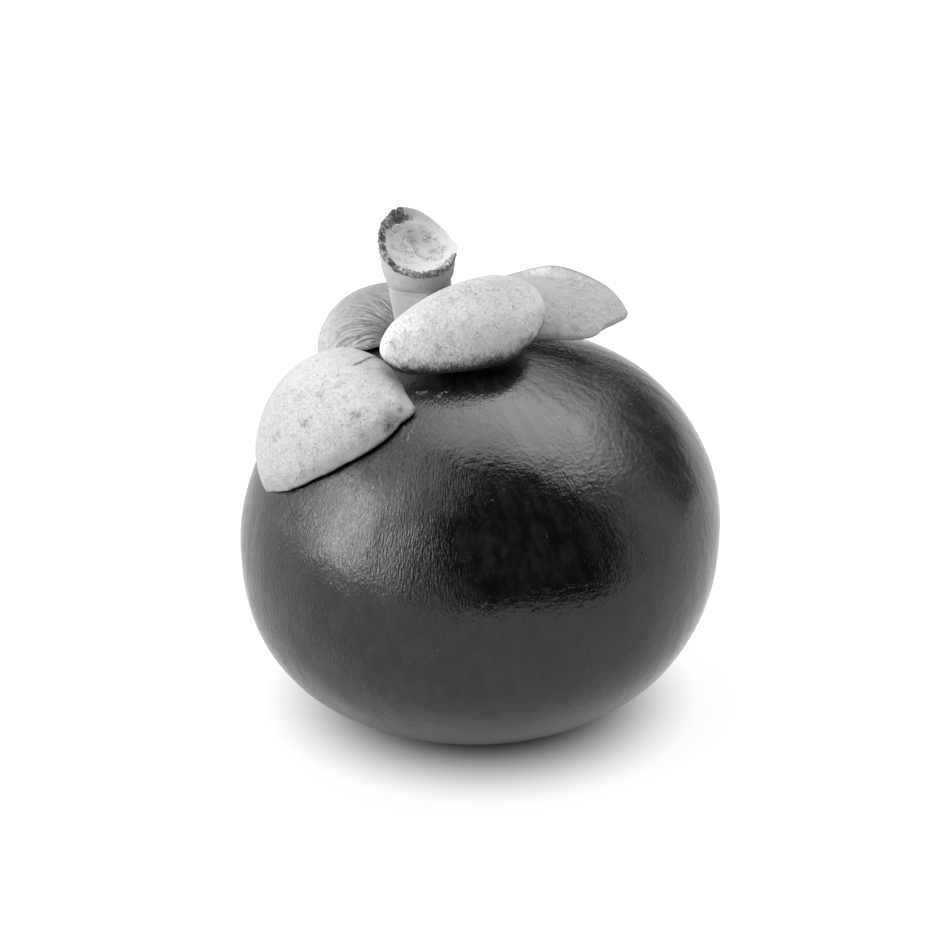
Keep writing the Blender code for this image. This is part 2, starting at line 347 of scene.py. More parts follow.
SEPALS = (
    Sepal(
        name="front_sepal",
        node="sepal_front",
        azimuth=-42,
        reach=0.0083,
        turn=-13.9,
        half_length=0.00304,
        half_width=0.00958,
        ovate=0.25,
        taper=0.55,
        bend=-0.0025,
        dome=0.0082,
        curl=130,
        base_curl=99,
        lean=(-0.0022, 0.0011),
        lifts=(Bump(angle=122, rise=0.0025, spread=50),),
        spots=(
            Spot(spread=0.55, around=-21, radius=0.0009, strength=0.35),
            Spot(spread=0.65, around=-27, radius=0.0006, strength=0.45),
            Spot(spread=0.45, around=-15, radius=0.0006, strength=0.35),
            Spot(spread=0.37, around=-42, radius=0.0005, strength=0.30),
            Spot(spread=0.55, around=-60, radius=0.0006, strength=0.40),
            # These four darken the right end: painted shade of its fold.
            Spot(spread=0.70, around=48, radius=0.0020, strength=0.80),
            Spot(spread=0.62, around=68, radius=0.0016, strength=0.70),
            Spot(spread=0.82, around=28, radius=0.0018, strength=0.80),
            Spot(spread=0.86, around=5, radius=0.0009, strength=0.35),
        ),
        painted_light_tones=(1.16, 1.08),
        shade_from=-0.06,
        rim=0.3,
    ),
    Sepal(
        name="left_sepal",
        node="sepal_left",
        azimuth=-152,
        reach=0.0171,
        turn=2,
        half_length=0.0104,
        half_width=0.0117,
        ovate=-0.37,
        dome=0.0025,
        curl=52,
        base_curl=52,
        lean=(-0.0003, 0.0),
        lobes=(
            Bump(angle=129, rise=0.09, spread=8),
            Bump(angle=-8, rise=0.06, spread=9),
            Bump(angle=-135, rise=-0.10, spread=35),
        ),
        spots=(
            Spot(spread=0.37, around=63, radius=0.0006, strength=0.55),
            Spot(spread=0.27, around=114, radius=0.0005, strength=0.40),
            Spot(spread=0.39, around=132, radius=0.0006, strength=0.45),
            Spot(spread=0.65, around=102, radius=0.0008, strength=0.70),
            Spot(spread=0.82, around=93, radius=0.0006, strength=0.65),
            Spot(spread=0.40, around=15, radius=0.0005, strength=0.45),
            Spot(spread=0.92, around=111, radius=0.0011, strength=1.00),
            Spot(spread=0.90, around=123, radius=0.0004, strength=0.75),
            Spot(spread=0.09, around=81, radius=0.0009, strength=0.30),
            Spot(spread=0.58, around=161, radius=0.0003, strength=0.50),
            Spot(spread=0.64, around=163, radius=0.0003, strength=0.60),
            Spot(spread=0.71, around=165, radius=0.0003, strength=0.50),
            Spot(spread=0.82, around=-72, radius=0.0030, strength=0.30),
            Spot(spread=0.82, around=-108, radius=0.0030, strength=0.30),
        ),
        painted_light_tones=(0.61, 1.10),
        crease=((0.99, 177), (0.58, 162)),
        shade_from=-0.50,
        rim=0.9,
        pressed=0.00048,
        wrinkles=0.00002,
    ),
    Sepal(
        name="right_sepal",
        node="sepal_right",
        azimuth=39.5,
        reach=0.0151,
        turn=10,
        half_length=0.0094,
        half_width=0.0085,
        ovate=0.57,
        dome=0.0035,
        curl=87,
        base_curl=87,
        lean=(0.0004, 0.0006),
        lobes=(
            Bump(angle=11, rise=-0.29, spread=22),
            Bump(angle=-37, rise=0.06, spread=8),
            Bump(angle=-57, rise=-0.05, spread=9),
        ),
        lifts=(
            Bump(angle=8, rise=0.0075, spread=77),
            Bump(angle=-75, rise=-0.0010, spread=49),
        ),
        spots=(
            Spot(spread=0.37, around=-12, radius=0.0004, strength=0.70),
            Spot(spread=0.60, around=-6, radius=0.0003, strength=0.70),
            Spot(spread=0.75, around=-96, radius=0.0009, strength=0.45),
            Spot(spread=0.80, around=-84, radius=0.0008, strength=0.45),
        ),
        painted_light_tones=(0.86, 0.78),
        shade_from=-0.40,
        rim=0.35,
        wrinkles=0.00004,
    ),
    Sepal(
        name="back_sepal",
        node="sepal_back",
        azimuth=113,
        reach=0.0142,
        turn=9,
        half_length=0.0082,
        half_width=0.0092,
        ovate=0.13,
        dome=0.0048,
        curl=44,
        base_curl=44,
        lean=(0.0005, 0.0008),
        lobes=(
            Bump(angle=134, rise=0.45, spread=38),
            Bump(angle=147, rise=0.13, spread=12),
        ),
        spots=(Spot(spread=0.90, around=122, radius=0.0008, strength=0.40),),
        painted_light_tones=(0.62, 0.56),
        shade_from=-0.40,
        rim=1.0,
        pressed=0.00048,
        wrinkles=0.00018,
    ),
)


# --- Settings that a user can change ---
def shade(title, words, grey):
    return FloatVectorProperty(
        name=title, description=words, default=(grey, grey, grey), min=0, max=1, subtype="COLOR"
    )


def length(title, words, size):
    return FloatProperty(
        name=title, description=words, default=size, min=0, precision=5, subtype="DISTANCE"
    )


class RindSettings(bpy.types.PropertyGroup):
    skin: shade("Skin", "Colour of the rind's dark skin", 0.002)
    fleck: shade("Flecks", "Colour of the small dry flecks in the skin", 0.20)
    gloss: FloatProperty(
        name="Roughness",
        description="Roughness of the waxy skin between its streaks",
        default=0.12,
        min=0,
        max=1,
        subtype="FACTOR",
    )
    streak_depth: length("Streak depth", "Depth of the fine streaks from crown to base", 0.00009)
    dent_depth: length("Dent depth", "Depth of the shallow dents in the skin", 0.00009)


class SepalSettings(bpy.types.PropertyGroup):
    # Flanks and tops are painted-light copies of one flesh: lighter where it faces sideways and darker
    # where it faces up, as the light falls.
    painted_lit_flank: shade("Flanks", "Colour of the pale flesh that faces sideways", 0.60)
    top: shade("Tops", "Colour of the weathered flesh that faces up", 0.38)
    blotch: shade("Blotches", "Colour of the soft blotches and old marks", 0.07)
    # The underside colour is painted shade on flesh that faces down.
    underside_shade: shade("Undersides", "Colour of the dull flesh that faces down", 0.02)
    thickness: length("Thickness", "Thickness in the middle of a sepal", 0.0018)


class StalkSettings(bpy.types.PropertyGroup):
    bark: shade("Bark", "Colour of the stalk's smooth side", 0.38)
    pith: shade("Pith", "Colour of the cut face", 0.40)
    lip: shade("Lip", "Colour of the smooth lip beside the cut", 0.40)
    scab: shade("Scab", "Colour of the dried rim around the cut", 0.05)


class ScarSettings(bpy.types.PropertyGroup):
    bark: shade("Bark", "Colour of the stigma scar's woody lobes", 0.10)
    radius: length("Radius", "Middle of the scar to the tip of a lobe", 0.0050)
    thickness: length("Thickness", "Height of the lobes", 0.0010)
    lobes: IntProperty(
        name="Lobes", description="Number of lobes in the rosette", default=6, min=4, max=8
    )


class StageSettings(bpy.types.PropertyGroup):
    floor: shade("Floor", "Colour of the floor under the fruit", 0.10)
    glow: FloatProperty(
        name="Glow", description="Light that the lit floor gives off itself", default=8.8, min=0
    )
    lens: FloatProperty(
        name="Focal length", description="Focal length of the camera, in mm", default=135, min=20
    )
    distance: length("Distance", "Camera to the point that it is aimed at", 0.440)
    elevation: FloatProperty(
        name="Elevation",
        description="Height of the camera over the horizon",
        default=math.radians(25),
        subtype="ANGLE",
    )


# --- Shader maths ---
class Value:
    """A number in a shader. Arithmetic on it adds Math nodes."""

    def __init__(self, finish, socket):
        self.finish = finish
        self.socket = socket

    def __add__(self, other):
        return self.finish.math("ADD", self, other)

    def __radd__(self, other):
        return self.finish.math("ADD", other, self)

    def __sub__(self, other):
        return self.finish.math("SUBTRACT", self, other)

    def __rsub__(self, other):
        return self.finish.math("SUBTRACT", other, self)

    def __mul__(self, other):
        return self.finish.math("MULTIPLY", self, other)

    def __rmul__(self, other):
        return self.finish.math("MULTIPLY", other, self)

    def __truediv__(self, other):
        return self.finish.math("DIVIDE", self, other)


class Finish:
    """The nodes of one material, or of the surroundings."""

    def __init__(self, tree):
        self.tree = tree

    def node(self, kind, settings=None, values=None, output=0):
        """Adds a node, sets it up, then gives its sockets their values or links."""
        made = self.tree.nodes.new(kind)
        for name, value in (settings or {}).items():
            setattr(made, name, value)
        for name, value in (values or {}).items():
            if isinstance(value, Value):
                self.tree.links.new(value.socket, made.inputs[name])
            else:
                made.inputs[name].default_value = value
        return Value(self, made.outputs[output])

    def math(self, operation, *values):
        return self.node("ShaderNodeMath", {"operation": operation}, dict(enumerate(values)))

    def vector_math(self, operation, *values):
        settings = {"operation": operation}
        output = "Value" if operation in ("LENGTH", "DISTANCE", "DOT_PRODUCT") else "Vector"
        return self.node("ShaderNodeVectorMath", settings, dict(enumerate(values)), output)

    def smooth(self, value, low, high):
        """0 up to low, 1 from high on, and smooth between them. High may be under low."""
        if low > high:
            return 1 - self.smooth(value, high, low)
        values = {"Value": value, "From Min": low, "From Max": high}
        return self.node("ShaderNodeMapRange", {"interpolation_type": "SMOOTHSTEP"}, values)

    def blend(self, share, first, second):
        """Mixes two colours, with more of the second as the share grows."""
        settings = {"data_type": "RGBA"}
        return self.node("ShaderNodeMix", settings, {0: share, 6: first, 7: second}, 2)

    def noise(self, place, size, detail=2.0, roughness=0.5):
        """Smooth noise from 0 to 1, with hills of about this size."""
        values = {"Vector": place, "Scale": 1 / size, "Detail": detail, "Roughness": roughness}
        return self.node("ShaderNodeTexNoise", {}, values)

    def dots(self, place, size, radius, soft):
        """1 in small round dots about this far apart and 0 between them."""
        values = {"Vector": place, "Scale": 1 / size, "Randomness": 1.0}
        away = self.node("ShaderNodeTexVoronoi", {"feature": "F1"}, values, "Distance")
        return self.smooth(away, radius / size, radius / size * (1 - soft))

    def warp(self, place, size, depth):
        """Shifts places about by smooth noise, so that patterns lose their regular look."""
        values = {"Vector": place, "Scale": 1 / size}
        shift = self.node("ShaderNodeTexNoise", {}, values, "Color")
        centred = self.vector_math("SUBTRACT", shift, (0.5, 0.5, 0.5))
        return self.vector_math("ADD", place, self.vector_math("MULTIPLY", centred, (depth,) * 3))

    def around_stalk(self, size, stretch):
        """Streaks that run out from the stalk. Size is an angle in radians."""
        flat = self.flat(self.vector_math("SUBTRACT", self.place(), crown_place()))
        around = self.vector_math("NORMALIZE", flat)
        outwards = self.vector_math("LENGTH", flat) * (stretch / 0.010)
        upright = self.node("ShaderNodeCombineXYZ", {}, {"Z": outwards})
        return self.noise(self.vector_math("ADD", around, upright), size, 2.0, 0.55)

    def scratch(self, towards, scratch):
        """1 along a thin line between two directions and 0 away from it."""
        start = direction(*scratch.start)
        way = direction(*scratch.end) - start
        away = self.vector_math("SUBTRACT", towards, start)
        along = self.vector_math("DOT_PRODUCT", away, way) / way.length_squared
        share = self.math("MINIMUM", self.math("MAXIMUM", along, 0.0), 1.0)
        nearest = self.node("ShaderNodeVectorMath", {"operation": "SCALE"}, {0: way, 3: share})
        apart = self.vector_math("DISTANCE", away, nearest) * RIND_RADIUS
        return self.smooth(apart, scratch.width, scratch.width * 0.3) * scratch.strength

    def place(self):
        return self.node("ShaderNodeTexCoord", output="Object")

    def part(self, place, axis):
        return self.node("ShaderNodeSeparateXYZ", {}, {0: place}, axis)

    def flat(self, place):
        """The place with its height left out."""
        return self.vector_math("MULTIPLY", place, (1.0, 1.0, 0.0))

    def attribute(self, name):
        return self.node("ShaderNodeAttribute", {"attribute_name": name}, output="Fac")

    def relief(self, height, depth):
        """A normal bent by a height from 0 to 1 that stands for this depth."""
        values = {"Strength": 1.0, "Distance": depth, "Height": height}
        return self.node("ShaderNodeBump", {}, values, "Normal")


def rgba(color, tone=1.0):
    return (*(min(tone * value, 1.0) for value in color), 1.0)


def new_material(name):
    material = bpy.data.materials.new(name)
    material.use_nodes = True
    return material, Finish(material.node_tree), material.node_tree.nodes["Principled BSDF"]


def connect(finish, shader, color, roughness, normal):
    finish.tree.links.new(color.socket, shader.inputs["Base Color"])
    finish.tree.links.new(roughness.socket, shader.inputs["Roughness"])
    finish.tree.links.new(normal.socket, shader.inputs["Normal"])


def rind_finish(settings):
    """Dark wax with streaks from crown to base, duller below, with dry flecks and healed scratches."""
    material, finish, shader = new_material("waxy_rind")
    place = finish.place()
    centred = finish.vector_math("SUBTRACT", place, (-0.003, 0.0, 0.0))
    flat = finish.flat(centred)
    around = finish.vector_math("NORMALIZE", flat)
    radius = finish.vector_math("LENGTH", flat)
    height = finish.part(place, "Z") - CENTRE_HEIGHT
    down = finish.math("ARCTAN2", height, radius)

    def polar(stretch):
        upright = finish.node("ShaderNodeCombineXYZ", {}, {"Z": down * stretch})
        return finish.vector_math("ADD", around, upright)

    wide = finish.smooth(radius, 0.022, 0.012)
    narrow_grain = finish.noise(polar(0.28), 0.0085, 2.0, 0.60)
    wide_grain = finish.noise(polar(0.56), 0.017, 2.0, 0.60)
    grain = narrow_grain + wide * (wide_grain - narrow_grain)
    fine_grain = finish.noise(polar(0.20), 0.0050, 2.0, 0.60)
    ripples = finish.noise(polar(1.9), 0.040, 3.0, 0.60)
    pebbles = finish.noise(place, 0.0010, 3.0, 0.60)
    pores = finish.noise(place, 0.00030, 2.0, 0.65)
    calm = finish.smooth(finish.noise(place, 0.010, 2.0, 0.5), 0.46, 0.62)
    side = finish.smooth(finish.part(place, "X"), 0.006, -0.010)
    shoulder = finish.smooth(height, -0.006, 0.008)
    torn = finish.warp(place, 0.0007, 0.0009)
    towards = finish.vector_math("NORMALIZE", finish.vector_math("SUBTRACT", torn, RIND_CENTRE))
    healed = 0.0
    for scratch in SCRATCHES:
        healed = healed + finish.scratch(towards, scratch)
    healed = healed * finish.smooth(finish.noise(place, 0.0004, 3.0, 0.7), 0.42, 0.62)
    flecks = finish.dots(finish.warp(place, 0.0006, 0.0004), 0.0024, 0.00010, 0.6)
    patches = finish.noise(place, 0.006, 3.0, 0.6)
    stains = finish.smooth(finish.noise(polar(0.6), 0.055, 3.0, 0.6) + 0.5 * (patches - 0.5), 0.35, 0.75)
    skin = finish.blend(stains, rgba(settings.skin), rgba(settings.skin, 5.0))
    pale = finish.math("MAXIMUM", flecks * 0.6, healed)
    color = finish.blend(pale, skin, rgba(settings.fleck))
    dull = finish.smooth(height, -0.010, -0.021)
    roughness = settings.gloss + 0.20 * dull + 0.05 * (patches - 0.5)
    relief = grain * (0.50 + 0.45 * side) + fine_grain * 0.45 * side
    relief = relief + ripples * (0.20 + 0.55 * shoulder) * (0.9 - 0.6 * side)
    relief = (relief + pebbles * 0.42 + pores * 0.16) * (1.0 - 0.45 * calm) + healed * 0.5
    connect(finish, shader, color, roughness, finish.relief(relief, settings.streak_depth))
    return material


def sepal_finish(settings, sepal):
    """Pale flesh with old marks, fine cracks and a dark margin line, with painted light that darkens the
    tops and painted shade below, along the crease and beside the stalk.
    """
    material, finish, shader = new_material(sepal.name + "_flesh")
    place = finish.place()
    warped = finish.warp(place, 0.0015, 0.0011)
    clouds = finish.smooth(finish.noise(place, 0.0042, 3.0, 0.6), 0.50, 0.72)
    mottle = finish.smooth(finish.noise(warped, 0.0011, 4.0, 0.68), 0.46, 0.72)
    fine = finish.noise(warped, 0.00034, 3.0, 0.70)
    dashes = finish.smooth(fine, 0.60, 0.68) * finish.smooth(finish.noise(place, 0.0026), 0.44, 0.62)
    pricks = finish.dots(warped, 0.0010, 0.00012, 0.5)
    fibres = finish.noise(warped, 0.00022, 2.0, 0.65)
    cracks = finish.noise(finish.warp(place, 0.0009, 0.0006), 0.0006, 3.0, 0.6)
    cracks = finish.smooth(finish.math("ABSOLUTE", cracks - 0.5), 0.022, 0.0)
    lines = finish.around_stalk(0.050, 0.09)
    lines = finish.smooth(finish.math("ABSOLUTE", lines - 0.5), 0.05, 0.005)
    wrinkled = min(1.0, sepal.wrinkles / 0.00010)
    # Painted shade in the wrinkles' grooves beside the stalk and in the hollow round its foot.
    near_stalk = finish.attribute("near_stalk") * wrinkled
    funnel = finish.attribute("funnel") * wrinkled
    # Painted shade along the crease.
    crease_shade = finish.smooth(finish.attribute("fold_line") + 0.25 * (fibres - 0.5), 0.72, 0.94)
    margin = finish.smooth(finish.attribute("spread") + 0.04 * (fibres - 0.5), 0.965, 0.995)
    marks = 0.15 * mottle + 0.09 * clouds + 0.30 * (fibres - 0.5) + 0.07 * cracks
    marks = marks + finish.attribute("spots") * (0.50 + 0.80 * mottle)
    marks = marks + finish.math("MAXIMUM", dashes * (0.34 + 0.45 * mottle), pricks * 0.75)
    marks = finish.math("MAXIMUM", marks, margin * (0.35 + 0.85 * fibres) * sepal.rim)
    marks = marks + near_stalk * (0.10 + 0.80 * lines) + funnel * 0.7 + crease_shade * 0.75
    marks = finish.math("MINIMUM", finish.math("MAXIMUM", marks, 0.0), 1.0)
    # Painted light: flanks and tops blend by how far the flesh faces up, and each sepal's tones lighten
    # or darken it.
    facing_up = finish.attribute("facing_up")
    painted_lit_flank = rgba(settings.painted_lit_flank, sepal.painted_light_tones[0])
    top = rgba(settings.top, sepal.painted_light_tones[1])
    flesh = finish.blend(finish.smooth(facing_up, 0.35, 1.0), painted_lit_flank, top)
    marked = finish.blend(marks, flesh, rgba(settings.blotch))
    # Painted shade: flesh that faces down turns to the underside's dark colour, with a fuzzy edge.
    streaks = finish.noise(finish.vector_math("MULTIPLY", place, (1.0, 1.0, 0.25)), 0.00018, 2.0, 0.6)
    ragged = facing_up + 0.60 * (streaks - 0.5) + 0.12 * (clouds - 0.5)
    shaded = finish.smooth(ragged, sepal.shade_from, sepal.shade_from - 0.50)
    color = finish.blend(shaded, marked, rgba(settings.underside_shade))
    roughness = 0.55 + 0.20 * fibres
    relief = fibres * 0.35 + mottle * 0.45 + fine * 0.5 - cracks * 0.35 - dashes * 0.3
    relief = relief - pricks * 0.6 - near_stalk * lines * 1.2
    connect(finish, shader, color, roughness, finish.relief(relief, 0.00010))
    return material


def stalk_finish(settings):
    """Smooth banded bark, a spotted cut face with a clean lip, a flaking dark crust, and painted shade
    in the cleft by the cut's rim.
    """
    material, finish, shader = new_material("stalk_wood")
    place = finish.place()
    cut = finish.attribute("cut")
    lip = finish.attribute("lip")
    crust = finish.attribute("crust")
    cleft = finish.attribute("cleft")
    warped = finish.warp(place, 0.0008, 0.0005)
    fine = finish.noise(warped, 0.00022, 3.0, 0.65)
    clouds = finish.noise(place, 0.0014, 3.0, 0.6)
    bands = finish.noise(finish.vector_math("MULTIPLY", place, (1.0, 1.0, 3.0)), 0.0020, 3.0, 0.55)
    specks = finish.dots(warped, 0.0010, 0.00011, 0.6)
    clusters = finish.smooth(clouds, 0.45, 0.62) * finish.smooth(fine, 0.42, 0.58)
    base = finish.blend(cut, rgba(settings.bark), rgba(settings.pith))
    banded = finish.blend((1.0 - cut) * bands * 0.30, base, rgba(settings.scab))
    lipped = finish.blend(lip, banded, rgba(settings.lip))
    spotted = finish.blend(specks * 0.7, lipped, rgba(settings.scab))
    clustered = finish.blend(cut * (1.0 - lip) * clusters * 0.60, spotted, rgba(settings.scab))
    chips = finish.noise(warped, 0.0006, 4.0, 0.7)
    chips = finish.smooth(finish.math("ABSOLUTE", chips - 0.5), 0.01, 0.06)
    flakes = (0.25 + 0.75 * chips) * finish.smooth(fine + 1.2 * (clouds - 0.5), 0.30, 0.46)
    scab = finish.blend(flakes, rgba(settings.scab), rgba(settings.bark))
    edge = finish.smooth(crust + 1.1 * (fine - 0.5), 0.35, 0.55)
    crusted = finish.blend(edge, clustered, scab)
    # Painted shade in the cleft, in the scab's colour.
    cleft_shade = finish.smooth(cleft + 1.4 * (fine - 0.5), 0.55, 1.05)
    color = finish.blend(cleft_shade, crusted, rgba(settings.scab))
    roughness = 0.58 + 0.2 * fine
    relief = finish.relief(fine * (0.25 + 0.75 * edge) + chips * edge, 0.00012)
    connect(finish, shader, color, roughness, relief)
    return material


def scar_finish(settings):
    """Dry woody bark with paler clouds."""
    material, finish, shader = new_material("scar_bark")
    place = finish.place()
    fine = finish.noise(place, 0.00035, 3.0, 0.65)
    clouds = finish.noise(place, 0.0018, 3.0, 0.6)
    color = finish.blend(clouds * fine, rgba(settings.bark), rgba(settings.bark, 3.0))
    roughness = 0.70 + 0.2 * fine
    connect(finish, shader, color, roughness, finish.relief(fine, 0.00008))
    return material


# --- Modelling helpers ---
def deselect_all():
    bpy.ops.object.select_all(action="DESELECT")


def add_ball(name, segments, rings, halvings):
    """A ball of radius 1, to be shaped, with each face quartered as often as asked."""
    deselect_all()
    bpy.ops.mesh.primitive_uv_sphere_add(segments=segments, ring_count=rings, radius=1.0)
    piece = bpy.context.object
    piece.name = name
    piece.data.name = name
    finer = piece.modifiers.new("finer", "SUBSURF")
    finer.subdivision_type = "SIMPLE"
    finer.levels = halvings
    finer.render_levels = halvings
    bpy.ops.object.modifier_apply(modifier=finer.name)
    places = places_of(piece)
    move_to(piece, places / np.linalg.norm(places, axis=1)[:, None])
    return piece


def places_of(piece):
    places = np.empty(3 * len(piece.data.vertices), np.float32)
    piece.data.vertices.foreach_get("co", places)
    return places.reshape(-1, 3).astype(float)


def normals_of(piece):
    normals = np.empty(3 * len(piece.data.vertices), np.float32)
    piece.data.vertices.foreach_get("normal", normals)
    return normals.reshape(-1, 3).astype(float)


def move_to(piece, places):
    piece.data.vertices.foreach_set("co", places.astype(np.float32).ravel())
    piece.data.update()


def store(piece, name, values):
    """Keeps a number at each vertex for the material to read."""
    attribute = piece.data.attributes.new(name, "FLOAT", "POINT")
    attribute.data.foreach_set("value", np.asarray(values, np.float32))


def around_and_out(places):
    """Direction of each place around +Z, in radians, and its distance from +Z."""
    return np.arctan2(places[:, 1], places[:, 0]), np.hypot(places[:, 0], places[:, 1])


def on_circle(around, up=0):
    """Points of the unit circle in these directions, moved up."""
    return np.stack([np.cos(around), np.sin(around), up + np.zeros(len(around))], 1)


def select_where(piece, kind, test):
    """In edit mode, selects just the edges or the faces that pass a test."""
    bpy.ops.mesh.select_all(action="DESELECT")
    builder = bmesh.from_edit_mesh(piece.data)
    for part in getattr(builder, kind):
        part.select_set(test(part))
    bmesh.update_edit_mesh(piece.data)


def smooth_step(values, low, high):
    share = np.clip((values - low) / (high - low), 0, 1)
    return share * share * (3 - 2 * share)


def hills(places, size, seed):
    """Smooth noise from about -1 to 1 at each place, with hills of about this size."""
    shift = Vector((seed * 7.31, seed * 3.17, seed * 5.73))
    return np.array([noise.noise(Vector(place) / size + shift) for place in places])


def check_room(piece, node):
    """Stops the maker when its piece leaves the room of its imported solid."""
    low, high = (np.array(corner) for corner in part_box(node))
    places = places_of(piece)
    if (places.min(axis=0) < low - SPARE).any() or (places.max(axis=0) > high + SPARE).any():
        raise RuntimeError(piece.name + " is larger than its packed solid")


def finish_piece(piece, node, material):
    """Closes a piece's making: its material, smooth faces, its body and the node it stands for."""
    piece.data.materials.clear()
    piece.data.materials.append(material)
    deselect_all()
    piece.select_set(True)
    bpy.context.view_layer.objects.active = piece
    bpy.ops.object.shade_smooth()
    check_room(piece, node)
    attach(piece, BODY)
    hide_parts(node)


# --- Rind ---
def signed_power(values, exponent):
    return np.sign(values) * np.abs(values) ** exponent


def direction(azimuth, elevation):
    """Unit vector that points to an azimuth and an elevation, both in degrees."""
    around = math.radians(azimuth)
    above = math.radians(elevation)
    flat = math.cos(above)
    return Vector((flat * math.cos(around), flat * math.sin(around), math.sin(above)))


def swell_factors(towards):
    """How far the rind swells in each direction from its centre."""
    units = towards / np.linalg.norm(towards, axis=1)[:, None]
    factors = np.ones(len(units))
    for swell in SWELLS:
        cosine = units @ np.array(direction(swell.azimuth, swell.elevation))
        apart = np.degrees(np.arccos(np.clip(cosine, -1, 1)))
        factors += swell.rise * np.exp(-0.5 * (apart / swell.spread) ** 2)
    return factors


def rind_places(units):
    """Moves points of the unit ball to their places on the rind."""
    upper = units[:, 2] >= 0
    fullness = np.where(upper, CROWN_FULLNESS, BASE_FULLNESS)
    height = np.where(upper, CROWN_RISE, BASE_DROP)
    around, ring = around_and_out(units)
    radius = RIND_RADIUS * np.minimum(ring, 1.0) ** (2 / fullness)
    up = height * signed_power(units[:, 2], 2 / fullness)
    places = np.stack([radius * np.cos(around), radius * np.sin(around), up], 1)
    tilt = np.array(Matrix.Rotation(-math.radians(AXIS_TILT), 3, "Y"))
    places *= swell_factors(places @ tilt.T)[:, None]
    share = (up / height) ** 2
    places[:, 0] -= np.where(upper, CROWN_DRIFT * share, 0)
    drift = BASE_DROP * math.tan(math.radians(-AXIS_TILT))
    places[:, 0] += np.where(upper, 0, (APEX.x + drift) * share)
    places[:, 1] += np.where(upper, 0, APEX.y * share)
    places = places @ tilt.T
    places[:, 2] = np.maximum(places[:, 2] + CENTRE_HEIGHT, 0)
    return places


def crown_place():
    return Vector(rind_places(np.array([[0.0, 0.0, 1.0]]))[0])


def add_dents(piece, settings):
    """Presses broad and narrow dents into the skin, which fade out towards the resting face."""
    places = places_of(piece)
    upright = smooth_step(places[:, 2], 0.0005, 0.0040)
    broad = hills(places, BROAD_DENT, 1)
    narrow = hills(places, NARROW_DENT, 2)
    around = np.arctan2(places[:, 1], places[:, 0] + 0.003)
    ridges = hills(on_circle(around, places[:, 2] / RIDGE_LENGTH), RIDGE_WIDTH, 3)
    depth = settings.dent_depth
    rise = upright * depth * (1.0 * broad + 0.28 * narrow + 0.30 * ridges)
    move_to(piece, places + normals_of(piece) * rise[:, None])


def add_dimple(piece):
    """Hollows the apex, where the stigma scar lies."""
    places = places_of(piece)
    away = np.hypot(places[:, 0] - APEX.x, places[:, 1] - APEX.y)
    under = places[:, 2] < DIMPLE_DEPTH
    rise = DIMPLE_DEPTH * smooth_step(-away, -DIMPLE_RADIUS, DIMPLE_EDGE - DIMPLE_RADIUS)
    places[:, 2] = np.where(under, np.maximum(places[:, 2], rise), places[:, 2])
    move_to(piece, places)


class MakeRind(bpy.types.Operator):
    """Shapes the dark rind with its dents, its flat resting face and its hollow apex"""

    bl_idname = "mangosteen.make_rind"
    bl_label = "Rind"

    def execute(self, context):
        settings = context.scene.mangosteen_rind
        piece = add_ball("whole_rind", segments=96, rings=64, halvings=2)
        move_to(piece, rind_places(places_of(piece)))
        add_dents(piece, settings)
        add_dimple(piece)
        finish_piece(piece, "rind", rind_finish(settings))
        return {"FINISHED"}


# --- Sepals ---
def bump_heights(bumps, around):
    total = np.zeros(len(around))
    for bump in bumps:
        apart = (around - bump.angle + 180) % 360 - 180
        total += bump.rise * np.exp(-((apart / bump.spread) ** 2))
    return total


def margin_curls(sepal, around):
    """How far the margin turns over in each direction on the sepal, in radians."""
    from_base = 180 - np.abs((around + 180) % 360 - 180)
    near_base = np.exp(-((from_base / BASE_SPREAD) ** 2))
    return np.radians(sepal.curl + (sepal.base_curl - sepal.curl) * near_base)


def sepal_axes(sepal, crown):
    """The sepal's middle, tip direction and side direction, as unit vectors from the drape centre."""
    up = (crown - DRAPE_CENTRE).normalized()
    out = direction(sepal.azimuth, 0)
    out = (out - up * out.dot(up)).normalized()
    side = up.cross(out)
    lean = sepal.reach / DRAPE_RADIUS
    middle = up * math.cos(lean) + out * math.sin(lean)
    tip = out * math.cos(lean) - up * math.sin(lean)
    turn = math.radians(sepal.turn)
    turned_tip = tip * math.cos(turn) + side * math.sin(turn)
    turned_side = side * math.cos(turn) - tip * math.sin(turn)
    return np.array(middle), np.array(turned_tip), np.array(turned_side)


def sepal_sheet(sepal, axes, rind_tree, spread, around, ragged):
    """Middle surface of a sepal: spread runs from 0 at its middle to 1 at its margin."""
    middle, tip, side = axes
    degrees = np.degrees(around)
    curl = margin_curls(sepal, degrees)
    reach = np.sin(spread * curl) / np.where(curl < np.pi / 2, np.sin(curl), 1)
    lift = (np.cos(spread * curl) - np.cos(curl)) / (1 - np.cos(curl))
    outline = 1 + (bump_heights(sepal.lobes, degrees) + ragged) * spread**2
    along = reach * np.cos(around)
    across = reach * np.sin(around) * (1 + sepal.ovate * along)
    bowed = sepal.bend * across**2 + sepal.lean[0] * lift
    along = sepal.half_length * along * (1 + sepal.taper * across) * outline + bowed
    across = sepal.half_width * across * outline + sepal.lean[1] * lift
    away = np.maximum(np.hypot(along, across), 1e-9)
    heading = (along[:, None] * tip + across[:, None] * side) / away[:, None]
    angle = (away / DRAPE_RADIUS)[:, None]
    towards = middle * np.cos(angle) + heading * np.sin(angle)
    surface = [rind_tree.ray_cast(DRAPE_CENTRE, Vector(way))[0] for way in towards]
    lifts = bump_heights(sepal.lifts, degrees) * spread**2
    pressed = sepal.pressed * smooth_step(spread, PRESSED_FROM, 1.0)
    height = SEPAL_GAP + lifts + sepal.dome * lift - pressed
    return np.array(surface) + towards * height[:, None]


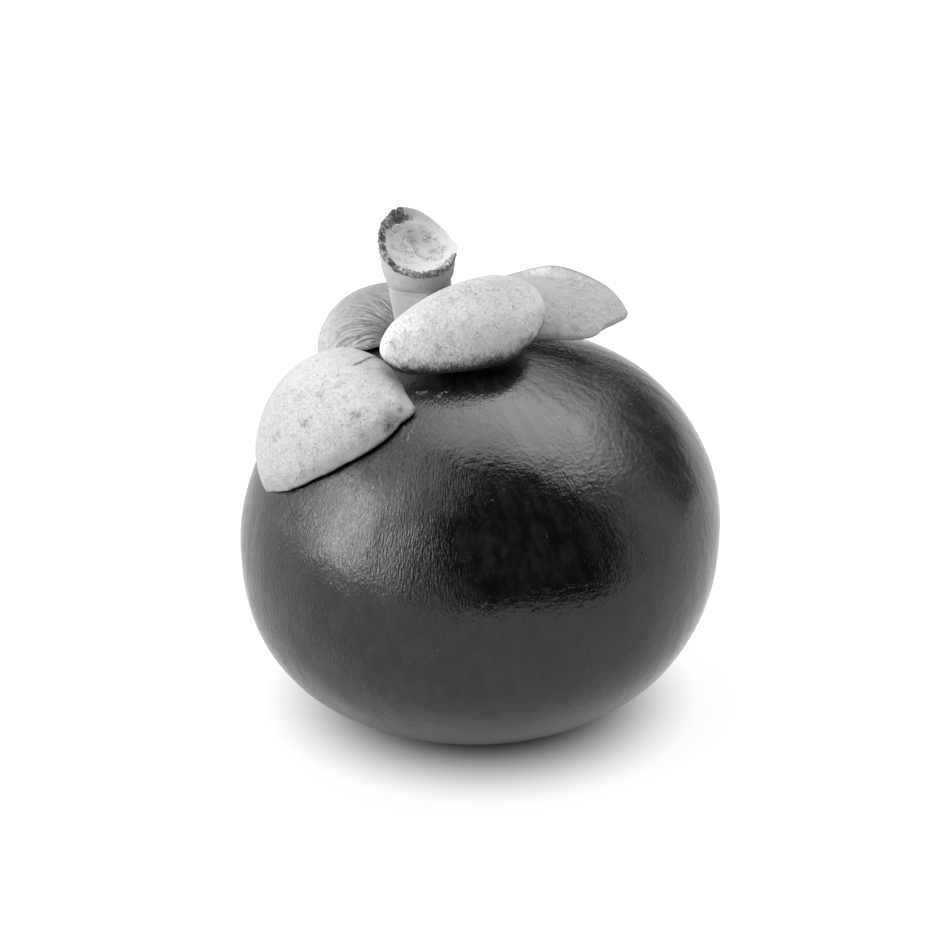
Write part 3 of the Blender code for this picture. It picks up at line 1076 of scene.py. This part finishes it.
def sheet_normals(sheet, spread, around, ragged):
    """Outward normals of a sheet, from its slopes outwards and around."""
    inner = np.maximum(spread - SHEET_STEP, SHEET_STEP / 2)
    outer = np.maximum(spread, inner + SHEET_STEP)
    outwards = sheet(outer, around, ragged) - sheet(inner, around, ragged)
    sideways = sheet(outer, around + SHEET_STEP, ragged) - sheet(outer, around - SHEET_STEP, ragged)
    normals = np.cross(outwards, sideways)
    return normals / np.linalg.norm(normals, axis=1)[:, None]


def stalk_folds(places):
    """Folds that run out from the foot of the stalk, and how near each place is to that foot."""
    around, radius = around_and_out(places - np.array(crown_place()))
    ring = on_circle(around, radius / FOLD_LENGTH)
    folds = np.clip(1 - np.abs(hills(ring, FOLD_SIZE, 31)) / FOLD_WIDTH, 0, 1)
    return folds, smooth_step(-radius, -WRINKLE_REACH, -0.45 * WRINKLE_REACH)


def crease_depths(sepal, sheet, places):
    """1 along the sepal's crease and 0 away from it."""
    if not sepal.crease:
        return np.zeros(len(places))
    spreads, arounds = np.linspace(*sepal.crease, CREASE_STEPS).T
    line = sheet(spreads, np.radians(arounds), np.zeros(CREASE_STEPS))
    wavy = places + CREASE_WAVE * hills(places, 0.0008, 42)[:, None]
    apart = np.min([np.linalg.norm(wavy - point, axis=1) for point in line], axis=0)
    return np.exp(-((apart / CREASE_WIDTH) ** 2))


def foot_nearness(places):
    """1 beside the foot of the stalk, falling smoothly to 0 a little way out."""
    _, radius = around_and_out(places - np.array(crown_place()))
    return smooth_step(-radius, -FUNNEL_REACH, -FUNNEL_CORE)


def spot_depths(sepal, sheet, places):
    """How strongly the sepal's old marks show at each place."""
    depths = np.zeros(len(places))
    edge = 1 + 0.5 * hills(places, 0.0006, 41)
    for spot in sepal.spots:
        where = sheet(np.array([spot.spread]), np.array([math.radians(spot.around)]), 0)
        apart = np.linalg.norm(places - where, axis=1) / (spot.radius * edge)
        depths = np.maximum(depths, spot.strength * np.exp(-(apart**2)))
    return depths


def shape_sepal(piece, sepal, rind_tree, settings):
    """Drapes a flattened ball over the rind: its upper half is the sepal's outer face."""
    units = places_of(piece)
    around, out = around_and_out(units)
    spread = np.minimum(out, 1.0)
    ring = on_circle(around)
    ragged = 0.010 * hills(ring, 0.16, 11) + 0.006 * hills(ring, 0.05, 12)
    axes = sepal_axes(sepal, crown_place())

    def sheet(*where):
        return sepal_sheet(sepal, axes, rind_tree, *where)

    normals = sheet_normals(sheet, spread, around, ragged)
    thickness = signed_power(units[:, 2], 0.8) * settings.thickness / 2
    middle = sheet(spread, around, ragged)
    places = middle + normals * thickness[:, None]
    outer = smooth_step(units[:, 2], 0.0, 0.3)
    folds, near_stalk = stalk_folds(places)
    rise = 0.00007 * hills(places, 0.0030, 21) + 0.00004 * hills(places, 0.0011, 22)
    rise = outer * (rise - folds * near_stalk * sepal.wrinkles)
    move_to(piece, places + normals * rise[:, None])
    store(piece, "spread", spread)
    store(piece, "near_stalk", near_stalk * outer)
    # The funnel and crease attributes feed only painted shade in the flesh colour.
    store(piece, "funnel", outer * foot_nearness(places))
    store(piece, "fold_line", outer * crease_depths(sepal, sheet, middle))
    store(piece, "spots", outer * spot_depths(sepal, sheet, middle))
    # Facing up drives the painted light on tops and flanks and the painted shade on faces that turn
    # down.
    store(piece, "facing_up", normals_of(piece)[:, 2])


class MakeSepals(bpy.types.Operator):
    """Drapes the four pale sepals over the rind, each with its own dome, margin and marks"""

    bl_idname = "mangosteen.make_sepals"
    bl_label = "Sepals"

    def execute(self, context):
        settings = context.scene.mangosteen_sepals
        form = add_ball("form", segments=96, rings=64, halvings=2)
        move_to(form, rind_places(places_of(form)))
        rind_tree = BVHTree.FromObject(form, context.evaluated_depsgraph_get())
        bpy.data.objects.remove(form, do_unlink=True)
        for sepal in SEPALS:
            piece = add_ball(sepal.name, segments=60, rings=30, halvings=2)
            shape_sepal(piece, sepal, rind_tree, settings)
            material = sepal_finish(settings, sepal)
            finish_piece(piece, sepal.node, material)
        return {"FINISHED"}


# --- Stalk ---
def add_drum(name, sides, side_cuts, cap_rings):
    """A drum of radius 1 from z -1 to 1 with rows of faces up its side and rings over its top."""
    deselect_all()
    bpy.ops.mesh.primitive_cylinder_add(vertices=sides, radius=1.0, depth=2.0)
    piece = bpy.context.object
    piece.name = name
    piece.data.name = name
    bpy.ops.object.mode_set(mode="EDIT")
    bpy.ops.mesh.select_mode(type="EDGE")
    select_where(piece, "edges", lambda edge: abs(edge.verts[0].co.z - edge.verts[1].co.z) > 1)
    bpy.ops.mesh.subdivide(number_cuts=side_cuts)
    bpy.ops.mesh.select_mode(type="FACE")
    for up in (1, -1):
        select_where(piece, "faces", lambda face: face.normal.z * up > 0.9)
        for _ in range(cap_rings - 1):
            bpy.ops.mesh.inset(thickness=1 / cap_rings, depth=0)
        bpy.ops.mesh.poke()
    bpy.ops.object.mode_set(mode="OBJECT")
    return piece


def stalk_radius(heights):
    """The stalk's radius at each height over the crown, with its corners rounded."""
    rows = np.array(STALK_OUTLINE)
    total = 0
    for shift in np.linspace(-OUTLINE_ROUNDING, OUTLINE_ROUNDING, OUTLINE_SAMPLES):
        total = total + np.interp(heights + shift, rows[:, 0], rows[:, 1])
    return total / OUTLINE_SAMPLES


def crust_share(around):
    """1 on the sides of the cut where the bark has dried to a crust and 0 on its smooth lip."""
    facing = np.cos(around - math.radians(CRUST_AZIMUTH))
    return smooth_step(facing, CRUST_EDGE, CRUST_EDGE + CRUST_FADE)


def square_share(around):
    """The radius of a rounded square against that of the circle it replaces."""
    turned = around - math.radians(CORNER_AZIMUTH - 45)
    corners = np.abs(np.cos(turned)) ** 4 + np.abs(np.sin(turned)) ** 4
    return SQUARE_SCALE * corners**-0.25


def side_radius(around, height):
    """The stalk's radius: squarish in its shaft and round at its collar and foot."""
    shaft = smooth_step(height, *SHAFT_FOOT) * smooth_step(-height, -SHAFT_COLLAR[1], -SHAFT_COLLAR[0])
    groove = GROOVE_DEPTH * np.exp(-(((height - GROOVE_HEIGHT) / GROOVE_WIDTH) ** 2))
    sideways = ((np.cos(around) - 1) / KNOB_SPREAD) ** 2
    upwards = ((height - KNOB_HEIGHT) / KNOB_LENGTH) ** 2
    knob = KNOB_RISE * np.exp(-sideways - upwards)
    return stalk_radius(height) * (1 + shaft * (square_share(around) - 1)) - groove + knob


def hollow_height(x, y):
    """Height of the cut's hollow face, which is part of a ball that leans towards its azimuth."""
    away = math.sqrt(CUT_HOLLOW_RADIUS**2 - STALK_OUTLINE[-2][1] ** 2)
    middle = np.array((0, 0, CUT_HEIGHT)) + np.array(direction(CUT_AZIMUTH, 90 - CUT_SLOPE)) * away
    flat = (x - middle[0]) ** 2 + (y - middle[1]) ** 2
    return middle[2] - np.sqrt(np.maximum(CUT_HOLLOW_RADIUS**2 - flat, 1e-12))


def rim_heights(around):
    """Height of the cut's rim in each direction, where its hollow face meets the stalk's side."""
    heights = np.full(len(around), CUT_HEIGHT)
    for _ in range(RIM_STEPS):
        radius = side_radius(around, heights)
        heights = hollow_height(radius * np.cos(around), radius * np.sin(around))
    return heights


def shape_stalk(piece):
    """Gives the drum the stalk's outline, its sloping hollow cut, its crust and its cleft."""
    units = places_of(piece)
    around, ring = around_and_out(units)
    circle = on_circle(around)
    top = units[:, 2] > 0.999
    bottom = units[:, 2] < -0.999
    crust = crust_share(around)
    lip = 1 - crust
    worn = SHOULDER_WEAR * np.exp(2.5 * (np.cos(around - math.radians(SHOULDER_AZIMUTH)) - 1))
    ragged = crust * (0.00018 * hills(circle, 0.22, 51) + 0.00012 * hills(circle, 0.09, 52))
    rim_height = rim_heights(around) - worn + ragged
    low = STALK_OUTLINE[0][0]
    height = low + (rim_height - low) * (units[:, 2] + 1) / 2
    side = side_radius(around, height)
    radius = np.where(top, ring * side_radius(around, rim_height), np.where(bottom, ring * side, side))
    x = radius * np.cos(around)
    y = radius * np.sin(around)
    floor = hollow_height(x, y) + (ragged - worn) * smooth_step(ring, 0.6, 1.0)
    sunk = (0.0003 + 0.0006 * lip) * (1 - smooth_step(ring, 0.45, 0.93 - 0.12 * lip))
    cleft = np.exp(-((np.cos(around - math.radians(CLEFT_AZIMUTH)) - 1) / CLEFT_SPREAD) ** 2)
    cleft = cleft * np.exp(-(((ring - CLEFT_RING) / CLEFT_WIDTH) ** 2))
    places = np.stack([x, y, height], 1)
    wander = hills(circle, 0.30, 55) + 0.6 * hills(circle, 0.11, 56)
    on_top = smooth_step(ring + 0.05 * wander, *CRUST_TOP)
    on_side = smooth_step(height - rim_height - 0.00022 * wander, *CRUST_SIDE)
    crusted = crust * np.where(top, on_top, on_side)
    rough = 0.5 + hills(places, 0.00045, 53) + 0.6 * hills(places, 0.00022, 54)
    z = np.where(top, floor - sunk - CLEFT_DEPTH * cleft + CRUST_RISE * crusted * rough, height)
    grow = np.where(top, 0, CRUST_BULGE * crusted * rough)
    places = np.stack([x + grow * np.cos(around), y + grow * np.sin(around), z], 1)
    store(piece, "cut", np.where(top, 1 - smooth_step(ring, 0.90, 1.0), 0))
    store(piece, "lip", np.where(top, lip * smooth_step(ring, 0.68, 0.92), 0))
    store(piece, "crust", crusted)
    # The cleft attribute feeds the painted shade in the cleft.
    store(piece, "cleft", np.where(top, cleft, 0))
    lean = Matrix.Rotation(-math.radians(STALK_LEAN), 4, "Y")
    turn = np.array(Matrix.Translation(crown_place()) @ lean)
    move_to(piece, places @ turn[:3, :3].T + turn[:3, 3])


class MakeStalk(bpy.types.Operator):
    """Raises the stalk with its groove and collar, and cuts its end on the slope"""

    bl_idname = "mangosteen.make_stalk"
    bl_label = "Stalk"

    def execute(self, context):
        piece = add_drum("cut_stalk", sides=300, side_cuts=139, cap_rings=70)
        shape_stalk(piece)
        material = stalk_finish(context.scene.mangosteen_stalk)
        finish_piece(piece, "stalk", material)
        return {"FINISHED"}


# --- Stigma scar ---
def shape_scar(piece, settings):
    """Spreads the drum into a rosette of rounded lobes with a cleft between each two."""
    units = places_of(piece)
    around, ring = around_and_out(units)
    cleft = 1 - np.abs(np.cos(around * settings.lobes / 2))
    radius = settings.radius * ring * (1 - 0.28 * cleft**2)
    middle = DIMPLE_DEPTH - GAP - settings.thickness / 2
    dome = 1 - 0.5 * ring**4 - 0.35 * np.exp(-((1 - cleft) / 0.25) ** 2) * ring
    z = middle + units[:, 2] * settings.thickness / 2 * dome
    places = np.stack([APEX.x + radius * np.cos(around), APEX.y + radius * np.sin(around), z], 1)
    move_to(piece, places)


class MakeScar(bpy.types.Operator):
    """Makes the woody rosette that the flower's stigma leaves under the fruit"""

    bl_idname = "mangosteen.make_scar"
    bl_label = "Stigma scar"

    def execute(self, context):
        settings = context.scene.mangosteen_scar
        sides = 30 * settings.lobes
        piece = add_drum("stigma_rosette", sides, side_cuts=5, cap_rings=30)
        shape_scar(piece, settings)
        finish_piece(piece, "stigma_scar", scar_finish(settings))
        return {"FINISHED"}


# --- Stage ---
def add_floor(settings):
    """A wide pale floor whose far edge sweeps up. Its own light fades out in a disc under the fruit, a
    painted contact shadow.
    """
    deselect_all()
    bpy.ops.mesh.primitive_plane_add(size=FLOOR_SIZE, location=(0, 0, FLOOR_DROP))
    floor = bpy.context.object
    floor.name = "studio_floor"
    floor.data.name = "studio_floor"
    bpy.ops.object.transform_apply(location=True, rotation=True, scale=True)
    bpy.ops.object.mode_set(mode="EDIT")
    bpy.ops.mesh.select_mode(type="EDGE")
    select_where(floor, "edges", lambda edge: all(v.co.y > 0 for v in edge.verts))
    move = {"value": (0, 0, SWEEP_HEIGHT)}
    bpy.ops.mesh.extrude_region_move(TRANSFORM_OT_translate=move)
    low = SWEEP_HEIGHT / 2
    select_where(floor, "edges", lambda edge: all(v.co.y > 0 and v.co.z < low for v in edge.verts))
    bpy.ops.mesh.bevel(offset=SWEEP_ROUNDING * SWEEP_HEIGHT, segments=16)
    bpy.ops.object.mode_set(mode="OBJECT")
    bpy.ops.object.shade_smooth()
    material, finish, shader = new_material("studio_floor")
    place = finish.place()
    mottle = finish.noise(place, 0.4, 2.0, 0.5)
    color = finish.blend(mottle * 0.1, rgba(settings.floor), rgba(settings.floor, 0.97))
    away = finish.vector_math("LENGTH", finish.flat(place))
    # Painted contact shadow: the floor's glow fades out in a disc under the fruit.
    share = finish.smooth(away, PAINTED_SHADOW_RADIUS, PAINTED_SHADOW_EDGE)
    lit = finish.blend(share, rgba((0, 0, 0)), rgba(settings.floor))
    finish.tree.links.new(color.socket, shader.inputs["Base Color"])
    finish.tree.links.new(lit.socket, shader.inputs["Emission Color"])
    shader.inputs["Emission Strength"].default_value = settings.glow
    shader.inputs["Roughness"].default_value = 0.9
    shader.inputs["Specular IOR Level"].default_value = 0.2
    floor.data.materials.append(material)


def add_softbox(softbox):
    """A rectangular lamp in a direction from the fruit, facing it or facing straight down."""
    data = bpy.data.lights.new(softbox.name, "AREA")
    data.shape = "RECTANGLE"
    data.size = softbox.width
    data.size_y = softbox.height
    data.energy = softbox.radiance * math.pi * softbox.width * softbox.height
    lamp = bpy.data.objects.new(softbox.name, data)
    bpy.context.scene.collection.objects.link(lamp)
    towards = direction(softbox.azimuth, softbox.elevation)
    turn = Matrix.Rotation(math.radians(softbox.turn), 4, "Z")
    if not softbox.level:
        turn = towards.to_track_quat("Z", "Y").to_matrix().to_4x4() @ turn
    place = FRUIT_MIDDLE + towards * softbox.distance
    lamp.matrix_world = Matrix.Translation(place) @ turn


def add_surroundings(world):
    """A white room with darker and brighter patches, which the skin reflects."""
    world.use_nodes = True
    finish = Finish(world.node_tree)
    towards = finish.node("ShaderNodeTexCoord", output="Generated")
    light = 1.0
    for patch in ROOM_PATCHES:
        middle = direction(patch.azimuth, patch.elevation)
        facing = finish.vector_math("DOT_PRODUCT", towards, middle)
        inner = math.cos(math.radians(patch.half_angle))
        outer = math.cos(math.radians(patch.half_angle * patch.fade))
        light = light + patch.change * finish.smooth(facing, outer, inner)
    background = world.node_tree.nodes["Background"]
    finish.tree.links.new(light.socket, background.inputs["Strength"])
    background.inputs["Color"].default_value = (1, 1, 1, 1)


def add_camera(settings):
    data = bpy.data.cameras.new("camera")
    data.lens = settings.lens
    data.sensor_width = SENSOR_WIDTH
    data.clip_start = 0.01
    camera = bpy.data.objects.new("camera", data)
    bpy.context.scene.collection.objects.link(camera)
    aim = FRUIT_MIDDLE + AIM_SHIFT
    place = aim + direction(-90, math.degrees(settings.elevation)) * settings.distance
    turn = Matrix.Rotation(math.radians(90) - settings.elevation, 4, "X")
    camera.matrix_world = Matrix.Translation(place) @ turn
    bpy.context.scene.camera = camera


class MakeStage(bpy.types.Operator):
    """Sets the pale floor, the soft lamps, the room and the camera"""

    bl_idname = "mangosteen.make_stage"
    bl_label = "Stage"

    def execute(self, context):
        settings = context.scene.mangosteen_stage
        add_floor(settings)
        for lamp in SOFTBOXES:
            add_softbox(lamp)
        if context.scene.world is None:
            context.scene.world = bpy.data.worlds.new("room")
        add_surroundings(context.scene.world)
        add_camera(settings)
        context.scene.view_settings.view_transform = "Standard"
        return {"FINISHED"}


# --- Panel and registration ---
class MangosteenPanel(bpy.types.Panel):
    """Lists the makers of the fruit's pieces with their settings"""

    bl_idname = "MANGOSTEEN_PT_pieces"
    bl_label = "Mangosteen"
    bl_space_type = "VIEW_3D"
    bl_region_type = "UI"
    bl_category = "Mangosteen"

    def draw(self, context):
        for operator, group in MAKERS:
            box = self.layout.box()
            box.operator(operator.bl_idname)
            settings = getattr(context.scene, group)
            for name in type(settings).__annotations__:
                box.prop(settings, name)


SETTINGS = (
    ("mangosteen_rind", RindSettings),
    ("mangosteen_sepals", SepalSettings),
    ("mangosteen_stalk", StalkSettings),
    ("mangosteen_scar", ScarSettings),
    ("mangosteen_stage", StageSettings),
)
MAKERS = (
    (MakeRind, "mangosteen_rind"),
    (MakeSepals, "mangosteen_sepals"),
    (MakeStalk, "mangosteen_stalk"),
    (MakeScar, "mangosteen_scar"),
    (MakeStage, "mangosteen_stage"),
)


def register():
    for name, group in SETTINGS:
        bpy.utils.register_class(group)
        setattr(bpy.types.Scene, name, PointerProperty(type=group))
    for operator, _ in MAKERS:
        bpy.utils.register_class(operator)
    bpy.utils.register_class(MangosteenPanel)


def unregister():
    bpy.utils.unregister_class(MangosteenPanel)
    for operator, _ in reversed(MAKERS):
        bpy.utils.unregister_class(operator)
    for name, group in reversed(SETTINGS):
        delattr(bpy.types.Scene, name)
        bpy.utils.unregister_class(group)


def main():
    register()
    bpy.ops.mangosteen.make_rind()
    bpy.ops.mangosteen.make_sepals()
    bpy.ops.mangosteen.make_stalk()
    bpy.ops.mangosteen.make_scar()
    bpy.ops.mangosteen.make_stage()


if __name__ == "__main__":
    main()
